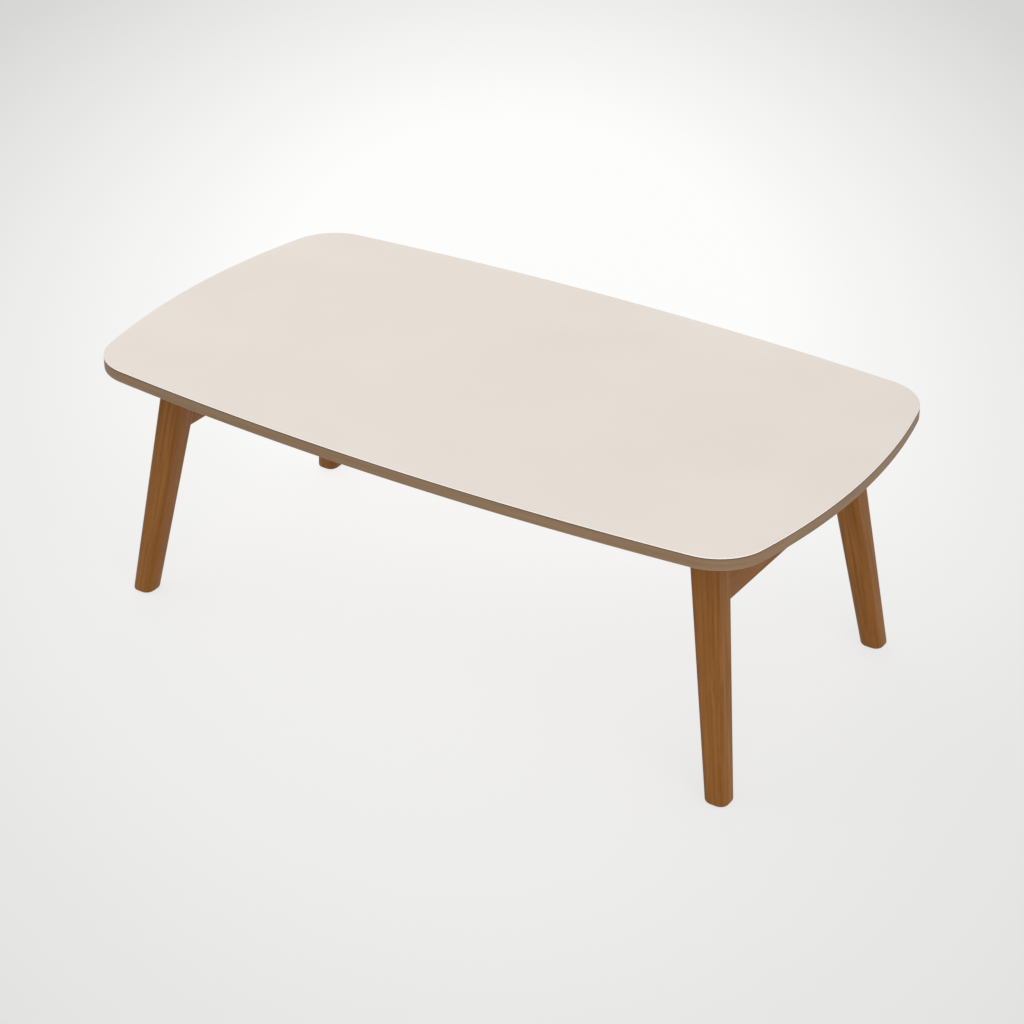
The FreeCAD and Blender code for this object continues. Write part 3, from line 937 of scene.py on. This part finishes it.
def dress_frame(side, first_board):
    """One frame of two legs and a rail with its pads and screws, and the brackets that carry it."""
    make_rail(side, first_board + rail_board_start)
    make_arm_screws(side)
    for board, end in enumerate(back_and_front, first_board + 1):
        make_leg(side, end, board)
        make_pad(side, end)
        corner_name = side + "_" + end
        soften(corner_name + "_hinge_base", finishes["bracket"], worn_paint)
        soften(corner_name + "_hinge_arm", finishes["bracket"], worn_paint)
        soften(corner_name + "_leaf_spring", finishes["spring"], finishes["spring"])


# Floor, light and camera

def make_floor():
    mesh = bpy.data.meshes.new("floor")
    signs = ((-1, -1), (1, -1), (1, 1), (-1, 1))
    corners = [(floor_reach * along_x, floor_reach * along_y, 0) for along_x, along_y in signs]
    mesh.from_pydata(corners, [], [(0, 1, 2, 3)])
    mesh.materials.append(floor_look())
    floor = bpy.data.objects.new("floor", mesh)
    scene.collection.objects.link(floor)


def make_lamp(name, place, aim_height, size, power):
    """Round soft lamp that points at a height over the table's middle, out of the camera's sight."""
    lamp = bpy.data.lights.new(name, "AREA")
    lamp.shape = "DISK"
    lamp.size = size
    lamp.energy = power
    holder = bpy.data.objects.new(name, lamp)
    holder.location = place
    holder.rotation_mode = "QUATERNION"
    holder.rotation_quaternion = (upwards * aim_height - Vector(place)).to_track_quat("-Z", "Y")
    holder.visible_camera = False
    scene.collection.objects.link(holder)


def make_world():
    """Even light from all round, with a light grey where the background shows."""
    world = bpy.data.worlds.new("studio")
    nodes = Nodes(world)
    ambient = nodes.tree.nodes["Background"]
    nodes.feed(ambient.inputs["Color"], ambient_colour)
    nodes.feed(ambient.inputs["Strength"], ambient_strength)
    backdrop = nodes.add("Background", {"Color": backdrop_colour})
    shown = nodes.mix_shaders(nodes.seen(), ambient.outputs[0], backdrop.outputs[0])
    nodes.feed(nodes.tree.nodes["World Output"].inputs["Surface"], shown)
    scene.world = world


def make_camera():
    """Camera at the photograph's place, with its slight roll."""
    camera = bpy.data.cameras.new("camera")
    camera.sensor_width = camera_sensor_width
    camera.lens = camera_lens
    holder = bpy.data.objects.new("camera", camera)
    level = on_circle(camera_azimuth, math.cos(camera_elevation))
    back = level.to_3d() + upwards * math.sin(camera_elevation)
    right = upwards.cross(back).normalized()
    up = back.cross(right)
    axes = Matrix((right, up, back)).transposed().to_4x4()
    roll = Matrix.Rotation(camera_roll, 4, "Z")
    holder.matrix_world = Matrix.Translation(camera_target + back * camera_distance) @ axes @ roll
    scene.collection.objects.link(holder)
    scene.camera = holder


# Finish of each material slot in the record, and of the brackets' edges
zinc = zinc_look()
worn_paint = worn_look()
finishes = {
    "top": laminate_look(),
    "edge": edge_look(),
    "core": board_look(),
    "leg_wood": wood_look(),
    "pad": felt_look(),
    "bracket": paint_look(),
    "spring": spring_steel_look(),
    "screws": zinc,
    "rivets": zinc,
}
dress_top()
for number, side in enumerate(right_and_left):
    dress_frame(side, len(back_and_front) * number)

make_floor()
make_world()
make_lamp("key", place=(-1.8, -0.2, 3.0), aim_height=0.3, size=4.0, power=25)
make_lamp("fill", place=(2.65, -2.25, 2.3), aim_height=0.2, size=4.6, power=72)
make_lamp("back", place=(-2.4, 3.2, 2.4), aim_height=0.3, size=4.2, power=28)
make_camera()
scene.view_settings.view_transform = "Standard"
